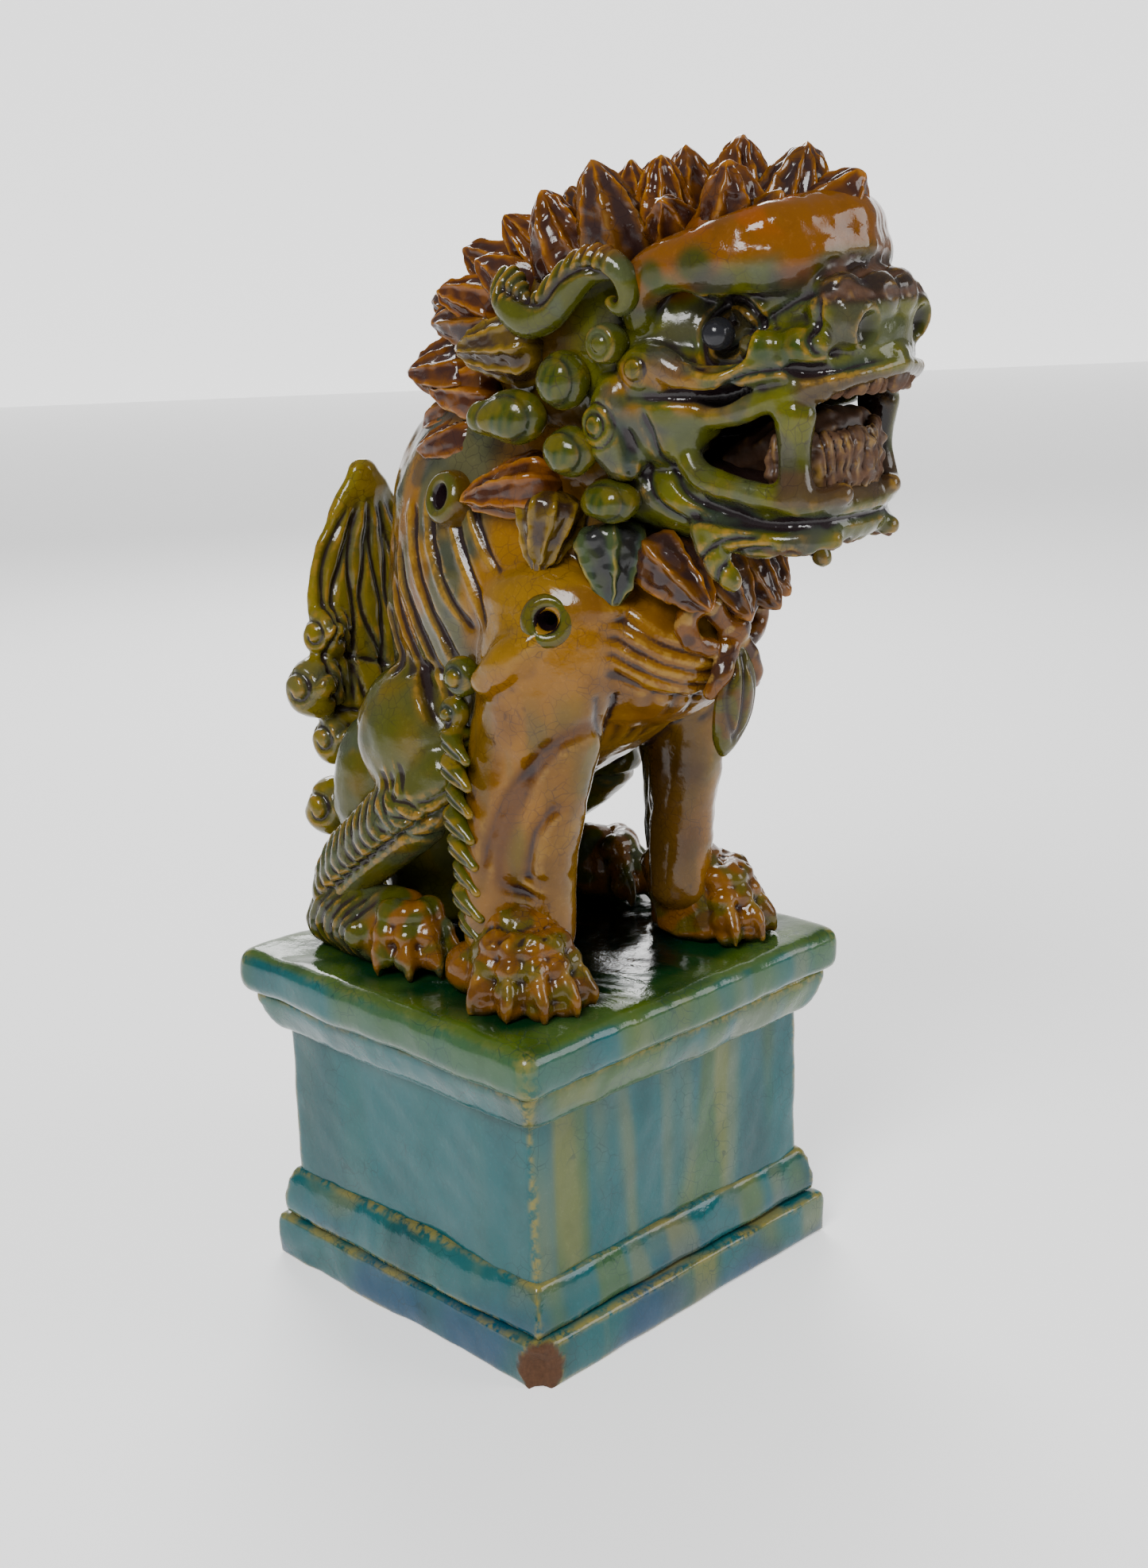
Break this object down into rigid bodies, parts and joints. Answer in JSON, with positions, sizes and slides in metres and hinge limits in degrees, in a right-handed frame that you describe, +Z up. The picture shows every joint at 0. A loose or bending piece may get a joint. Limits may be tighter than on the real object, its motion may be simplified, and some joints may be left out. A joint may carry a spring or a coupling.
{
  "type": "guardian lion statue",
  "caption": "Seated sancai-glazed pottery guardian lion with a turned open-mouthed head, curled mane and plume tail on a moulded rectangular plinth.",
  "frame": {"origin": "centre of the plinth's underside, on the surface that it stands on", "axes": "+Z up; the lion's body faces -Y, its right side is -X, and its head is turned to its left, towards +X"},
  "size_m": [0.101, 0.1703, 0.2523],
  "materials": {
    "amber_glaze": "glossy honey lead glaze that pools dark in the grooves",
    "brown_glaze": "glossy orange-brown lead glaze",
    "green_glaze": "glossy olive green lead glaze",
    "turquoise_glaze": "glossy streaked turquoise lead glaze with blue and green runs",
    "dark_glaze": "glossy black-brown glaze",
    "brown_clay": "matt unglazed brown clay"
  },
  "bodies": {
    "root": {"beard": "green_glaze", "brow_left": "amber_glaze", "brow_right": "amber_glaze", "cheek_bosses": "green_glaze", "collar_bow": "green_glaze", "collar_pendant": "green_glaze", "collar_strap": "green_glaze", "ear_left": "amber_glaze", "ear_right": "amber_glaze", "eyeball_left": "dark_glaze", "eyeball_right": "dark_glaze", "fangs": "brown_clay", "front_claws": "green_glaze", "front_leg_left": "amber_glaze", "front_leg_right": "amber_glaze", "front_paw_left": "amber_glaze", "front_paw_right": "amber_glaze", "haunch_left": "amber_glaze", "haunch_right": "amber_glaze", "head_shell": "amber_glaze", "hind_claws": "green_glaze", "hind_foot_left": "amber_glaze", "hind_foot_right": "amber_glaze", "hind_shin_left": "amber_glaze", "hind_shin_right": "amber_glaze", "leg_fringe_left": "green_glaze", "leg_fringe_right": "green_glaze", "lower_jaw": "amber_glaze", "lower_teeth": "brown_clay", "mane_crown_row": "brown_glaze", "mane_side_row_left": "brown_glaze", "mane_side_row_right": "brown_glaze", "mane_upper_row_left": "brown_glaze", "mane_upper_row_right": "brown_glaze", "neck_ring": "amber_glaze", "neck_ruff": "brown_glaze", "nose": "brown_clay", "plinth_cornice": "turquoise_glaze", "plinth_foot_moulding": "turquoise_glaze", "plinth_top_slab": "turquoise_glaze", "plinth_torus_moulding": "turquoise_glaze", "plinth_wall_back": "turquoise_glaze", "plinth_wall_front": "turquoise_glaze", "plinth_wall_left": "turquoise_glaze", "plinth_wall_right": "turquoise_glaze", "shoulder_knobs": "green_glaze", "side_tufts": "green_glaze", "snout": "amber_glaze", "socket_boss_left_back": "green_glaze", "socket_boss_left_front": "green_glaze", "socket_boss_right_back": "green_glaze", "socket_boss_right_front": "green_glaze", "spine_crest": "amber_glaze", "tail_curls": "brown_glaze", "tail_plume": "brown_glaze", "tongue": "brown_clay", "torso_left_half": "amber_glaze", "torso_right_half": "amber_glaze", "upper_teeth": "brown_clay"}
  },
  "joints": []
}
